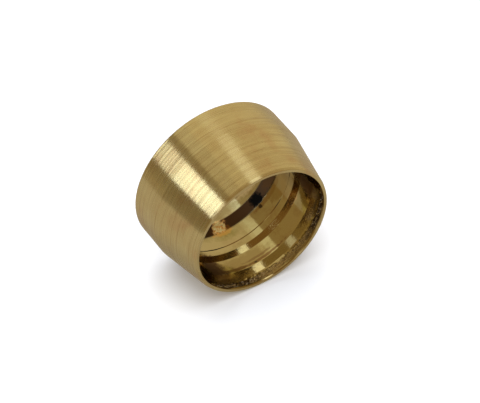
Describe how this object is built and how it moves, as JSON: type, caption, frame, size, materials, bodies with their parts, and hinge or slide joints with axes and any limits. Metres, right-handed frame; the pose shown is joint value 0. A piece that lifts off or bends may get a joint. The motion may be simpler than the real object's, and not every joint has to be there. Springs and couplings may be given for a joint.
{
  "type": "compression olive",
  "caption": "One-piece turned brass olive with a parallel band, a tapered nose and a stepped bore that grips a tube and stops it at a shoulder.",
  "frame": {"origin": "centre of the big end's flat face, where the axis of the bore crosses it", "axes": "+Z along the bore axis, from the big end towards the tapered nose and its mouth; round about Z, so X and Y are any two directions across"},
  "size_m": [0.0126, 0.0126, 0.0071],
  "materials": {
    "brass": "satin turned outside, smooth bored inside"
  },
  "bodies": {
    "root": {"olive": "brass"}
  },
  "joints": []
}
